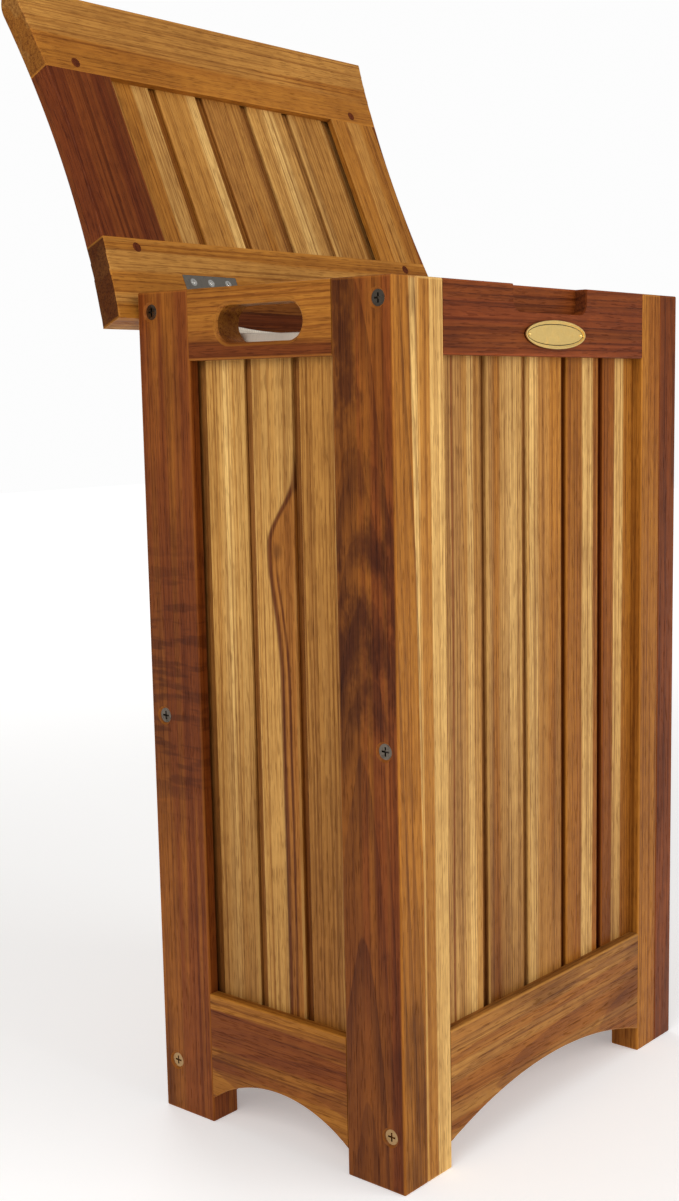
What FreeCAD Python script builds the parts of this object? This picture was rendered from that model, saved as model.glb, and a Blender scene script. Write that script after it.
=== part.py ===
"""Teak laundry hamper: four frame-and-slat panels, a hinged lid, a floor and a hanging cloth liner.

Lengths are in millimetres. The model is built about the middle of the body, with X to the right
along the front, Y towards the back and Z up from the floor, and the lid closed. The lid is then
swung open, and everything is moved so that the origin is the middle of the floor space it covers.
"""
import FreeCAD, Part
import math
import os
from FreeCAD import Vector

# ---- driving dimensions: the body ------------------------------
body_width = 354.0
body_depth = 235.0
body_height = 610.0
board = 25.0                 # thickness of every body panel's frame
post_face = 51.0             # side panels' stiles, which are also the corner posts
inner_stile = 27.0           # front and rear panels' stiles, between the posts
top_rail_bottom = 561.0
bottom_rail_top = 100.0
arch_spring = 19.0           # height of the arch where it meets the stiles
arch_apex = 41.0
arris = 1.2                  # eased edges
arch_chamfer = 0.8           # eased edges of the arches

# ---- tongue-and-groove slats and their grooves ------------------------------
slat_recess = 8.0            # from the frame's outer face to the slats' face
slat_thick = 10.0
slat_gap = 7.0               # exposed tongue between two slat faces
slat_step = 4.0              # depth of that groove
tongue_thick = 3.0
tongue_reach = 4.0
tongue_play = 0.15
slat_chamfer = 1.0
groove_depth = 8.0           # ploughed round the inside of each frame
tenon = 7.0
tenon_bottom = 27.0
tenon_top = 602.0
side_slats = 3
front_slats = 5

# ---- hand slots, finger recess and name plate ------------------------------
slot_length = 79.0
slot_height = 25.5
slot_middle = 585.0
slot_ease = 2.5
recess_width = 93.0
recess_drop = 19.0
recess_deep = 10.0
recess_corner = 9.0
plate_length = 75.0
plate_height = 20.0
plate_middle = Vector(4.0, 0.0, 576.3)
plate_thick = 1.2
plate_rim = 1.3
plate_rim_rise = 0.7
plate_line_in = 2.4
plate_line_width = 0.6
plate_line_deep = 0.4
plate_pin_radius = 1.0
plate_pin_in = 5.0

# ---- corner screws ------------------------------
screw_heights = (38.5, 305.0, 596.0)
screw_from_edge = 12.5
screw_shank = 2.1
screw_hole = 2.2
screw_sink = 6.9             # countersink's radius at the surface
screw_head = 5.4
screw_head_depth = 1.5       # head lies this far below the surface
screw_length = 41.0
cross_length = 6.4
cross_width = 1.3
cross_depth = 1.8
screw_tip = 0.3              # radius at the point
screw_end_play = 0.5

# ---- lid ------------------------------
lid_width = 388.0
lid_length = 264.0
lid_thick = 20.0
lid_waist = 12.5             # how far each end curves in at its middle
lid_rail = 64.0
lid_stile_inner = 125.0      # stiles' inner edges, either side of the middle
lid_recess = 5.0
lid_slats = 5
lid_gap = 8.0
lid_step = 3.5
lid_nose = 14.0              # rounding of the front edge
lid_tenon = 16.0
lid_tenon_width = 30.0
lid_rest_gap = 0.2           # between the body's top and the closed lid
dowel_radius = 3.75
dowel_hole = 3.8
dowel_x = 155.0
dowel_in = 7.0               # from the rail's inner edge

# ---- hinges ------------------------------
hinge_x = 91.0
hinge_width = 55.0
hinge_behind = 8.0           # axis behind the rear face
hinge_overhang = 19.0        # lid behind the axis
hinge_leaf = 18.0
leaf_thick = 1.5
barrel = 3.0
barrel_clear = 3.6
knuckles = 5
knuckle_gap = 0.25
pin_radius = 1.5
pin_bore = 1.56
pin_head = 2.2
pin_head_thick = 1.0
open_angle = 113.5
leaf_screw_spacing = 18.0
leaf_screw_from_axis = 12.5
leaf_screw_head = 3.0
leaf_screw_shank = 1.5
leaf_screw_play = 0.1
leaf_screw_length = 14.0
leaf_screw_sunk = 0.1        # head lies this far below the leaf's face
leaf_cross_width = 0.7
leaf_cross_depth = 0.8
leaf_play = 0.2              # round each leaf in its housing
pin_end_play = 0.5

# ---- floor, pegs and liner ------------------------------
cleat = 15.0
cleat_bottom = 45.0
cleat_end_gap = 1.0
floor_thick = 10.0
floor_boards = 3
floor_gap = 3.0
floor_end_gap = 1.0
peg_x = 117.0
peg_z = 597.0
peg_radius = 2.5
peg_hole = 2.55
peg_head = 4.0
peg_head_thick = 2.5
peg_out = 6.0
peg_in = 8.0
peg_end_play = 0.5
liner_gap = 2.5
liner_wall = 2.0
liner_top = 588.0
liner_corner = 12.0
liner_floor_gap = 1.0

# ---- allowances for cutting and for finding edges ------------------------------
cut_past = 1.0               # cutting shapes run this far past a surface
parallel = 0.999             # cosine above which a line counts as parallel
touching = 0.01
mid_edge = 0.5               # edges nearer than this to the lid's mid-thickness are left alone

# ---- worked out from the sizes above ------------------------------
half_width = body_width / 2
half_depth = body_depth / 2
front_width = body_width - 2 * board
axis_y = half_depth + hinge_behind
underside = body_height + lid_rest_gap
axis_z = body_height + lid_rest_gap / 2
lid_back = axis_y + hinge_overhang
lid_front = lid_back - lid_length
floor_bottom = cleat_bottom + cleat
floor_top = floor_bottom + floor_thick

up = Vector(0, 0, 1)
along_x = Vector(1, 0, 0)
along_y = Vector(0, 1, 0)


# ---- helpers ------------------------------
def block(x0, x1, y0, y1, z0, z1):
    """A box between two values on each axis."""
    return Part.makeBox(x1 - x0, y1 - y0, z1 - z0, Vector(x0, y0, z0))


def rod(start, direction, radius, length):
    return Part.makeCylinder(radius, length, start, direction)


def cone(start, direction, start_radius, end_radius, length):
    return Part.makeCone(start_radius, end_radius, length, start, direction)


def extruded(points, direction):
    """A prism on a closed outline of points."""
    outline = Part.makePolygon(points + points[:1])
    return Part.Face(outline).extrude(direction)


def eased(shape, direction, radius=arris):
    """Round the straight edges that run along a direction."""
    edges = []
    for edge in shape.Edges:
        if not isinstance(edge.Curve, Part.Line):
            continue
        if abs(edge.tangentAt(edge.FirstParameter).dot(direction)) > parallel:
            edges.append(edge)
    return shape.makeFillet(radius, edges)


def turned(shape, angle, move):
    """A copy turned about Z and moved to its side of the body."""
    copy = shape.copy()
    copy.rotate(Vector(0, 0, 0), up, angle)
    copy.translate(move)
    return copy


# ---- frame-and-slat panels ------------------------------
# A panel is made lying along X with its outer face at y = 0 and its thickness towards +Y.
def stile(width, left_edge, groove_side):
    """An upright with a stopped groove in one edge; groove_side is +1 on its right edge, -1 on its left."""
    wood = block(left_edge, left_edge + width, 0, board, 0, body_height)
    wood = wood.makeFillet(arris, wood.Edges)
    inner = left_edge + width if groove_side > 0 else left_edge
    near = min(inner, inner - groove_side * groove_depth)
    groove = block(near, near + groove_depth, slat_recess, slat_recess + slat_thick,
                   tenon_bottom - cut_past, tenon_top + cut_past)
    return wood.cut(groove)


def top_rail(left, right):
    wood = eased(block(left, right, 0, board, top_rail_bottom, body_height), along_x)
    tongue = block(left - tenon, right + tenon, slat_recess, slat_recess + slat_thick,
                   top_rail_bottom + groove_depth, tenon_top)
    groove = block(left - tenon, right + tenon, slat_recess, slat_recess + slat_thick,
                   top_rail_bottom, top_rail_bottom + groove_depth)
    return wood.fuse(tongue).cut(groove).removeSplitter()


def bottom_rail(left, right):
    """The lower rail, its underside an arc that springs from the stiles.

    It is made over-long and then cut to length, so that its eased arrises run out square at the ends.
    """
    half_chord = (right - left) / 2
    rise = arch_apex - arch_spring
    radius = (half_chord ** 2 + rise ** 2) / (2 * rise)
    half_long = half_chord + tenon
    long_spring = arch_apex - radius + math.sqrt(radius ** 2 - half_long ** 2)
    middle = (left + right) / 2
    low_left = Vector(middle - half_long, 0, long_spring)
    low_right = Vector(middle + half_long, 0, long_spring)
    high_left = Vector(middle - half_long, 0, bottom_rail_top)
    high_right = Vector(middle + half_long, 0, bottom_rail_top)
    arch = Part.Arc(low_right, Vector(middle, 0, arch_apex), low_left).toShape()
    outline = Part.Wire([Part.makeLine(low_left, high_left), Part.makeLine(high_left, high_right),
                         Part.makeLine(high_right, low_right), arch])
    wood = eased(Part.Face(outline).extrude(along_y * board), along_x)
    rims = [edge for edge in wood.Edges if isinstance(edge.Curve, Part.Circle)
            and edge.Length > half_chord]
    wood = wood.makeChamfer(arch_chamfer, rims)
    wood = wood.common(block(left, right, -cut_past, board + cut_past, 0, body_height))
    groove = block(left, right, slat_recess, slat_recess + slat_thick,
                   bottom_rail_top - groove_depth, bottom_rail_top)
    wood = wood.cut(groove)
    for start in (left - tenon, right):
        wood = wood.fuse(block(start, start + tenon, slat_recess, slat_recess + slat_thick,
                               tenon_bottom, bottom_rail_top - groove_depth))
    return wood.removeSplitter()


def slat_outline(start, end, face, gap, step, first, last, both_faces):
    """Corners of a slat's section as (across, depth) pairs, with its tongue on the low side."""
    back = face + slat_thick
    tongue_face = face + step
    tongue_back = tongue_face + tongue_thick
    back_start = start + gap if both_faces else start
    tip = start - (tenon if first else tongue_reach)
    points = [(tip, tongue_back), (tip, tongue_face), (start + gap, tongue_face),
              (start + gap, face + slat_chamfer), (start + gap + slat_chamfer, face)]
    if last:
        points += [(end + tenon, face), (end + tenon, back)]
    else:
        slot_face = tongue_face - tongue_play
        slot_back = tongue_back + tongue_play
        slot_end = end - tongue_reach - tongue_play
        points += [(end - slat_chamfer, face), (end, face + slat_chamfer), (end, slot_face),
                   (slot_end, slot_face), (slot_end, slot_back), (end, slot_back),
                   (end, back - slat_chamfer), (end - slat_chamfer, back)]
    points += [(back_start + slat_chamfer, back), (back_start, back - slat_chamfer),
               (back_start, tongue_back)]
    return points


def slats(left, right, count):
    """The slats that fill a body panel, between its stiles."""
    pitch = (right - left) / count
    made = []
    for number in range(count):
        start = left + number * pitch
        section = slat_outline(start, start + pitch, slat_recess, slat_gap, slat_step,
                               number == 0, number == count - 1, False)
        foot = bottom_rail_top - tenon
        height = top_rail_bottom + tenon - foot
        made.append(extruded([Vector(across, depth, foot) for across, depth in section], up * height))
    return made


def panel(width, stile_width, count):
    """Named pieces of a panel, lying along X from 0 to its width."""
    left = stile_width
    right = width - stile_width
    pieces = {
        "low_stile": stile(stile_width, 0, 1),
        "high_stile": stile(stile_width, right, -1),
        "top_rail": top_rail(left, right),
        "bottom_rail": bottom_rail(left, right),
    }
    for number, piece in enumerate(slats(left, right, count), 1):
        pieces[f"slat_{number}"] = piece
    return pieces


# ---- details cut into the rails and posts ------------------------------
def hand_slot():
    """A round-ended slot through a side rail, its rim opened out at both faces."""
    radius = slot_height / 2
    reach = slot_length / 2 - radius
    middle = body_depth / 2

    def stadium(grow, y):
        r = radius + grow
        a = Vector(middle - reach, y, slot_middle + r)
        b = Vector(middle + reach, y, slot_middle + r)
        c = Vector(middle + reach, y, slot_middle - r)
        d = Vector(middle - reach, y, slot_middle - r)
        right_end = Part.Arc(b, Vector(middle + reach + r, y, slot_middle), c).toShape()
        left_end = Part.Arc(d, Vector(middle - reach - r, y, slot_middle), a).toShape()
        return Part.Wire([Part.makeLine(a, b), right_end, Part.makeLine(c, d), left_end])

    cutter = Part.Face(stadium(0, -cut_past)).extrude(along_y * (board + 2 * cut_past))
    outside = Part.makeLoft([stadium(slot_ease, 0), stadium(0, slot_ease)], True, True)
    inside = Part.makeLoft([stadium(0, board - slot_ease), stadium(slot_ease, board)], True, True)
    return cutter, outside, inside


def finger_recess():
    """A shallow pocket in the front rail's face, open at the top, with rounded lower corners."""
    bottom = body_height - recess_drop
    middle = front_width / 2
    pocket = block(middle - recess_width / 2, middle + recess_width / 2, -cut_past, recess_deep,
                   bottom, body_height + recess_drop)
    corners = []
    for edge in pocket.Edges:
        along_depth = abs(edge.tangentAt(edge.FirstParameter).y) > parallel
        if along_depth and edge.CenterOfMass.z < bottom + touching:
            corners.append(edge)
    return pocket.makeFillet(recess_corner, corners)


def screw_hole_cutter(centre, direction, length):
    """Clearance hole with a countersink; centre is on the wood's surface."""
    sink = screw_sink - screw_hole
    return rod(centre, direction, screw_hole, length).fuse(
        cone(centre, direction, screw_sink, screw_hole, sink))


def corner_screw(centre, direction):
    """A countersunk cross-head screw, its head a little below the surface."""
    top = centre + direction * screw_head_depth
    taper = screw_head - screw_shank
    tip = screw_shank * 2
    shank = screw_length - screw_head_depth - tip
    wood_screw = cone(top, direction, screw_head, screw_shank, taper)
    wood_screw = wood_screw.fuse(rod(top, direction, screw_shank, shank))
    wood_screw = wood_screw.fuse(cone(top + direction * shank, direction, screw_shank, screw_tip, tip))
    for tall in (cross_length, cross_width):
        wide = cross_length + cross_width - tall
        arm = block(-cross_depth, cross_depth, -wide / 2, wide / 2, -tall / 2, tall / 2)
        arm.translate(top)
        wood_screw = wood_screw.cut(arm)
    return wood_screw.removeSplitter()


def screw_places(side):
    """Surface points of one side's six corner screws; side is -1 on the left, +1 on the right."""
    places = []
    for front_or_back in (-1, 1):
        y = front_or_back * (half_depth - screw_from_edge)
        for height in screw_heights:
            places.append(Vector(side * half_width, y, height))
    return places


def name_plate():
    """A blank oval plate with a raised rim, a fine line inside it and two small pins."""
    def oval(inset, y, deep):
        ellipse = Part.Ellipse(Vector(0, 0, 0), plate_length / 2 - inset, plate_height / 2 - inset)
        face = Part.Face(Part.Wire([ellipse.toShape()]))
        face.rotate(Vector(0, 0, 0), along_x, 90)
        face.translate(Vector(plate_middle.x, y, plate_middle.z))
        return face.extrude(Vector(0, -deep, 0))

    back = -half_depth
    plate = oval(0, back, plate_thick + plate_rim_rise)
    plate = plate.cut(oval(plate_rim, back - plate_thick, plate_rim_rise + cut_past))
    line_back = back - plate_thick + plate_line_deep
    line = oval(plate_line_in, line_back, cut_past).cut(
        oval(plate_line_in + plate_line_width, line_back, cut_past))
    plate = plate.cut(line)
    for side in (-1, 1):
        x = plate_middle.x + side * (plate_length / 2 - plate_pin_in)
        pin = Part.makeSphere(plate_pin_radius, Vector(x, back - plate_thick, plate_middle.z))
        plate = plate.fuse(pin)
    return plate.removeSplitter()


# ---- lid ------------------------------
def lid_blank():
    """The whole lid as one board: waisted ends and a rounded front edge."""
    end = lid_width / 2
    middle_y = (lid_front + lid_back) / 2
    corners = [Vector(-end, lid_front, underside), Vector(end, lid_front, underside),
               Vector(end, lid_back, underside), Vector(-end, lid_back, underside)]
    right_end = Part.Arc(corners[1], Vector(end - lid_waist, middle_y, underside), corners[2])
    left_end = Part.Arc(corners[3], Vector(lid_waist - end, middle_y, underside), corners[0])
    outline = Part.Wire([Part.makeLine(corners[0], corners[1]), right_end.toShape(),
                         Part.makeLine(corners[2], corners[3]), left_end.toShape()])
    wood = Part.Face(outline).extrude(up * lid_thick)
    top = underside + lid_thick
    nose = [e for e in wood.Edges
            if abs(e.CenterOfMass.y - lid_front) < touching and abs(e.CenterOfMass.z - top) < touching]
    wood = wood.makeFillet(lid_nose, nose)
    rest = []
    for edge in wood.Edges:
        centre = edge.CenterOfMass
        off_middle = abs(centre.z - underside - lid_thick / 2)
        if centre.y > lid_front + lid_nose + touching and off_middle > mid_edge:
            rest.append(edge)
    return wood.makeFillet(arris, rest)


def lid_pieces():
    """The closed lid's frame and slats, cut from one outline so that their edges run on."""
    wood = lid_blank()
    face = underside + lid_recess
    back = face + slat_thick
    rear_inner = lid_back - lid_rail
    front_inner = lid_front + lid_rail
    far = lid_width
    inner = lid_stile_inner
    tall = underside + lid_thick + cut_past
    low = underside - cut_past
    pieces = {}
    reach = inner + groove_depth
    groove_front = block(-reach, reach, front_inner - groove_depth, front_inner + cut_past, face, back)
    groove_rear = block(-reach, reach, rear_inner - cut_past, rear_inner + groove_depth, face, back)
    mortises = []
    for side in (-1, 1):
        near = side * dowel_x - lid_tenon_width / 2
        for start in (front_inner - lid_tenon, rear_inner):
            mortises.append(block(near, near + lid_tenon_width, start, start + lid_tenon, face, back))
    holes = [rod(place, up, dowel_hole, lid_thick + 2 * cut_past) for place in dowel_places(-cut_past)]
    front_rail = wood.common(block(-far, far, lid_front - cut_past, front_inner, low, tall))
    rear_rail = wood.common(block(-far, far, rear_inner, lid_back + cut_past, low, tall))
    pieces["lid_front_rail"] = front_rail.cut(groove_front).cut(mortises).cut(holes)
    pieces["lid_rear_rail"] = rear_rail.cut(groove_rear).cut(mortises).cut(holes)
    for name, side in (("lid_left_stile", -1), ("lid_right_stile", 1)):
        near, outer = sorted((side * inner, side * far))
        upright = wood.common(block(near, outer, front_inner, rear_inner, low, tall))
        edge = sorted((side * inner, side * (inner + groove_depth)))
        groove = block(edge[0], edge[1], front_inner, rear_inner, face, back)
        tenons = [m for m in mortises if m.CenterOfMass.x * side > 0]
        upright = upright.cut(groove).fuse(tenons).cut(holes)
        pieces[name] = upright.removeSplitter()
    pitch = 2 * inner / lid_slats
    length = rear_inner - front_inner + 2 * tenon
    for number in range(lid_slats):
        # the tongues lie on the right of these slats, so the section is drawn mirrored
        start = -inner + number * pitch
        section = slat_outline(start, start + pitch, face, lid_gap, lid_step,
                               number == 0, number == lid_slats - 1, True)
        corners = [Vector(-across, front_inner - tenon, depth) for across, depth in section]
        pieces[f"lid_slat_{lid_slats - number}"] = extruded(corners, along_y * length)
    return pieces


def dowel_places(below=0):
    """Centres of the four lid dowels on the underside, or a little below it."""
    places = []
    for x in (-dowel_x, dowel_x):
        for y in (lid_front + lid_rail - dowel_in, lid_back - lid_rail + dowel_in):
            places.append(Vector(x, y, underside + below))
    return places


# ---- hinges ------------------------------
def knuckle_spans(x, owner):
    """Start and end of each knuckle of one leaf; owner 0 has the outer ones, 1 those between."""
    pitch = hinge_width / knuckles
    left = x - hinge_width / 2
    spans = []
    for number in range(owner, knuckles, 2):
        start = left + number * pitch + knuckle_gap / 2
        spans.append((start, start + pitch - knuckle_gap))
    return spans


def hinge_leaf_solid(x, owner):
    """A leaf with its knuckles; owner 0 is on the body, 1 is on the lid."""
    bottom = body_height - leaf_thick if owner == 0 else underside
    plate = block(x - hinge_width / 2, x + hinge_width / 2, axis_y - hinge_leaf, axis_y,
                  bottom, bottom + leaf_thick)
    relief = barrel + knuckle_gap
    for start, end in knuckle_spans(x, 1 - owner):
        plate = plate.cut(rod(Vector(start - knuckle_gap, axis_y, axis_z), along_x, relief,
                              end - start + 2 * knuckle_gap))
    for start, end in knuckle_spans(x, owner):
        plate = plate.fuse(rod(Vector(start, axis_y, axis_z), along_x, barrel, end - start))
    plate = plate.cut(rod(Vector(x - hinge_width, axis_y, axis_z), along_x, pin_bore, 2 * hinge_width))
    into = -1 if owner == 0 else 1
    surface = body_height if owner == 0 else underside
    for place in leaf_screw_places(x, surface):
        plate = plate.cut(leaf_screw(place, into, leaf_screw_play))
    return plate.removeSplitter()


def leaf_screw_places(x, surface):
    return [Vector(x + step * leaf_screw_spacing, axis_y - leaf_screw_from_axis, surface)
            for step in (-1, 0, 1)]


def leaf_screw(place, into, grow=0.0):
    """A small countersunk screw, or with grow the hole it goes in; into is -1 down, +1 up."""
    direction = up * into
    start = place + direction * (leaf_screw_sunk - grow)
    taper = leaf_screw_head - leaf_screw_shank
    head = cone(start, direction, leaf_screw_head + grow, leaf_screw_shank + grow, taper)
    return head.fuse(rod(start, direction, leaf_screw_shank + grow, leaf_screw_length + 2 * grow))


def slotted(solid, place):
    """Cut a cross into a small screw's head."""
    for wide, tall in ((leaf_screw_head, leaf_cross_width), (leaf_cross_width, leaf_screw_head)):
        arm = block(-wide / 2, wide / 2, -tall / 2, tall / 2, -leaf_cross_depth, leaf_cross_depth)
        arm.translate(place)
        solid = solid.cut(arm)
    return solid


def hinge_pin(x):
    half = hinge_width / 2
    pin = rod(Vector(x - half, axis_y, axis_z), along_x, pin_radius, hinge_width)
    for start in (x - half - pin_head_thick, x + half):
        pin = pin.fuse(rod(Vector(start, axis_y, axis_z), along_x, pin_head, pin_head_thick))
    return pin.removeSplitter()


def hinge_cut_in_lid(x):
    """Leaf mortise, barrel channel and screw holes in the lid's underside."""
    half = hinge_width / 2 + pin_head_thick + pin_end_play
    wide = hinge_width / 2 + leaf_play
    channel = rod(Vector(x - half, axis_y, axis_z), along_x, barrel_clear, 2 * half)
    housing = block(x - wide, x + wide, axis_y - hinge_leaf - leaf_play,
                    axis_y, underside - cut_past, underside + leaf_thick)
    holes = [leaf_screw(p, 1, leaf_screw_play) for p in leaf_screw_places(x, underside)]
    return [channel, housing] + holes


def hinge_cut_in_body(x):
    """Leaf mortise and screw holes in the rear rail's top edge."""
    wide = hinge_width / 2 + leaf_play
    housing = block(x - wide, x + wide, axis_y - hinge_leaf - leaf_play,
                    half_depth + cut_past, body_height - leaf_thick, body_height + cut_past)
    holes = [leaf_screw(p, -1, leaf_screw_play) for p in leaf_screw_places(x, body_height)]
    return [housing] + holes


# ---- pegs and liner ------------------------------
def peg_places():
    """Roots of the four pegs on the inner faces of the front and rear rails, and the way they point."""
    inner = half_depth - board
    return [(Vector(x, side * inner, peg_z), Vector(0, -side, 0))
            for side in (-1, 1) for x in (-peg_x, peg_x)]


def peg(root, direction):
    shank = rod(root - direction * peg_in, direction, peg_radius, peg_in + peg_out)
    head = rod(root + direction * peg_out, direction, peg_head, peg_head_thick)
    return shank.fuse(head).removeSplitter()


def liner_bag():
    """An open-topped cloth bag, hanging clear of the walls and of the floor boards."""
    x = half_width - board - liner_gap
    y = half_depth - board - liner_gap
    bottom = floor_top + liner_floor_gap
    outer = block(-x, x, -y, y, bottom, liner_top)
    outer = eased(outer, up, liner_corner)
    wall = liner_wall
    inner = block(wall - x, x - wall, wall - y, y - wall, bottom + wall, liner_top + cut_past)
    return outer.cut(eased(inner, up, liner_corner - wall))


# ---- assembly ------------------------------
def build_body():
    nodes = {}
    side = panel(body_depth, post_face, side_slats)
    front = panel(front_width, inner_stile, front_slats)
    across = front_width / 2
    placed = (
        ("left", side, -90, Vector(-half_width, half_depth, 0), "rear_stile", "front_stile"),
        ("right", side, 90, Vector(half_width, -half_depth, 0), "front_stile", "rear_stile"),
        ("front", front, 0, Vector(-across, -half_depth, 0), "left_stile", "right_stile"),
        ("rear", front, 180, Vector(across, half_depth, 0), "right_stile", "left_stile"),
    )
    for name, pieces, angle, move, low_name, high_name in placed:
        for piece, shape in pieces.items():
            if piece == "top_rail" and name in ("left", "right"):
                shape = shape.cut(list(hand_slot()))
            if piece == "top_rail" and name == "front":
                shape = shape.cut(finger_recess())
            piece = {"low_stile": low_name, "high_stile": high_name}.get(piece, piece)
            nodes[f"{name}_{piece}"] = turned(shape, angle, move)

    for side_name, sign in (("left", -1), ("right", 1)):
        inward = Vector(-sign, 0, 0)
        screws = [corner_screw(place, inward) for place in screw_places(sign)]
        deep = screw_length + screw_end_play
        holes = [screw_hole_cutter(place, inward, deep) for place in screw_places(sign)]
        for post in ("front", "rear"):
            name = f"{side_name}_{post}_stile"
            nodes[name] = nodes[name].cut(holes)
            name = f"{post}_{side_name}_stile"
            nodes[name] = nodes[name].cut(holes)
        nodes[f"{side_name}_corner_screws"] = Part.makeCompound(screws)

    nodes["oval_plate"] = name_plate()

    pegs = []
    for root, direction in peg_places():
        pegs.append(peg(root, direction))
        rail = "front_top_rail" if root.y < 0 else "rear_top_rail"
        deep = peg_in + peg_end_play
        hole = rod(root - direction * deep, direction, peg_hole, deep + cut_past)
        nodes[rail] = nodes[rail].cut(hole)
    nodes["liner_pegs"] = Part.makeCompound(pegs)
    return nodes


def build_floor():
    nodes = {}
    inner_x = half_width - board
    inner_y = half_depth - board - cleat_end_gap
    cleats = []
    for near in (-inner_x, inner_x - cleat):
        strip = block(near, near + cleat, -inner_y, inner_y, cleat_bottom, cleat_bottom + cleat)
        cleats.append(eased(strip, along_y))
    nodes["floor_cleats"] = Part.makeCompound(cleats)
    long = inner_x - floor_end_gap
    width = (2 * inner_y - (floor_boards - 1) * floor_gap) / floor_boards
    for number in range(floor_boards):
        near = -inner_y + number * (width + floor_gap)
        plank = block(-long, long, near, near + width, floor_bottom, floor_top)
        nodes[f"floor_board_{number + 1}"] = eased(plank, along_x)
    return nodes


def build_lid_and_hinges(body):
    """Lid pieces, closed, and the hinge pieces that turn with them; the rest joins the body."""
    lid = lid_pieces()
    cuts = hinge_cut_in_lid(-hinge_x) + hinge_cut_in_lid(hinge_x)
    lid["lid_rear_rail"] = lid["lid_rear_rail"].cut(cuts)
    lid["lid_dowels"] = Part.makeCompound([rod(p, up, dowel_radius, lid_thick) for p in dowel_places()])
    body_screws = []
    lid_screws = []
    for name, x in (("left", -hinge_x), ("right", hinge_x)):
        body["rear_top_rail"] = body["rear_top_rail"].cut(hinge_cut_in_body(x))
        body[f"{name}_hinge_body_leaf"] = hinge_leaf_solid(x, 0)
        body[f"{name}_hinge_pin"] = hinge_pin(x)
        lid[f"{name}_hinge_lid_leaf"] = hinge_leaf_solid(x, 1)
        for place in leaf_screw_places(x, body_height):
            body_screws.append(slotted(leaf_screw(place, -1), place))
        for place in leaf_screw_places(x, underside):
            lid_screws.append(slotted(leaf_screw(place, 1), place))
    body["hinge_body_screws"] = Part.makeCompound(body_screws)
    lid["hinge_lid_screws"] = Part.makeCompound(lid_screws)
    for shape in lid.values():
        shape.rotate(Vector(0, axis_y, axis_z), along_x, -open_angle)
    return lid


def export(nodes):
    """Move the origin to the middle of the floor space that the open hamper covers, and write."""
    box = Part.makeCompound(list(nodes.values())).optimalBoundingBox(False, False)
    shift = Vector(0, -(box.YMin + box.YMax) / 2, 0)
    os.makedirs("parts", exist_ok=True)
    for name, shape in nodes.items():
        shape.translate(shift)
        shape.exportStep(f"parts/{name}.step")
    print("nodes", len(nodes), "size", round(box.XLength, 2), round(box.YLength, 2), round(box.ZLength, 2))
    print("body middle y", round(shift.y, 3), "axis y", round(axis_y + shift.y, 3), "z", axis_z)


parts = build_body()
parts.update(build_floor())
parts.update(build_lid_and_hinges(parts))
parts["liner_bag"] = liner_bag()
export(parts)
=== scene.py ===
# %% [markdown]
# # A teak laundry hamper with a lid
# The hamper is a tall teak box on four arched feet. Each wall is a frame round a panel of upright slats,
# a cloth bag hangs inside from four pegs, and a curved lid stands open on two steel hinges.
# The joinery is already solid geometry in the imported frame, so this lesson is about finish and cloth:
# it gives every board its own timber, every fitting its metal, and sews the bag.

# %% Load the frame
import math
import random

import bmesh
import bpy
from mathutils import Matrix, Vector


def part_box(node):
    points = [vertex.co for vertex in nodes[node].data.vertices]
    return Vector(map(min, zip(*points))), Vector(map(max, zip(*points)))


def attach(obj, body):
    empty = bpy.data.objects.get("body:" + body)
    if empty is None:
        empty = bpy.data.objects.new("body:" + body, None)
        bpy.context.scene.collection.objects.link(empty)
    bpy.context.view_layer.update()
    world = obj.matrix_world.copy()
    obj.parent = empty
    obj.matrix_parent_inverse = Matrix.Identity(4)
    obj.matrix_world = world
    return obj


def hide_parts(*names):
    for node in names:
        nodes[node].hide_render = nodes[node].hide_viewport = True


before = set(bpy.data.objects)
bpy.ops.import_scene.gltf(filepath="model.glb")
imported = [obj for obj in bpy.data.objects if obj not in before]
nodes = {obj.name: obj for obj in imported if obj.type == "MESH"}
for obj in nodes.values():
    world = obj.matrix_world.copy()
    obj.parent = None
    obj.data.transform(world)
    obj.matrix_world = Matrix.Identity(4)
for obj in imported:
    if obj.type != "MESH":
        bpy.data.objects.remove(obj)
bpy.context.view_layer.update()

# %% [markdown]
# ## Set up the studio
# A product like this is shown on a plain pale floor under large soft lights. A sky of one pale tone fills
# the shadows, a broad lamp on the left models the boards, and a second one keeps the front wall bright.
# The sky is brighter to look at than it is as a light, so that the oiled boards keep their depth.

# %% Sky
scene = bpy.context.scene
scene.view_settings.view_transform = "Standard"
world = bpy.data.worlds.new("studio_sky")
scene.world = world
world.use_nodes = True
sky = world.node_tree
sky_light = sky.nodes["Background"]
sky_light.inputs["Color"].default_value = (1.0, 0.98, 0.95, 1.0)
sky_light.inputs["Strength"].default_value = 0.36
sky_seen = sky.nodes.new("ShaderNodeBackground")
sky_seen.inputs["Color"].default_value = (0.98, 0.98, 0.98, 1.0)
ray = sky.nodes.new("ShaderNodeLightPath")
choose = sky.nodes.new("ShaderNodeMixShader")
sky.links.new(ray.outputs["Is Camera Ray"], choose.inputs[0])
sky.links.new(sky_light.outputs[0], choose.inputs[1])
sky.links.new(sky_seen.outputs[0], choose.inputs[2])
sky.links.new(choose.outputs[0], sky.nodes["World Output"].inputs["Surface"])


# %% Lamps
def soft_lamp(name, place, aim, side, watts):
    """A square area lamp at place, turned towards aim."""
    data = bpy.data.lights.new(name, "AREA")
    data.size = side
    data.energy = watts
    lamp = bpy.data.objects.new(name, data)
    lamp.location = place
    lamp.rotation_euler = (Vector(aim) - Vector(place)).to_track_quat("-Z", "Y").to_euler()
    scene.collection.objects.link(lamp)


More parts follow.
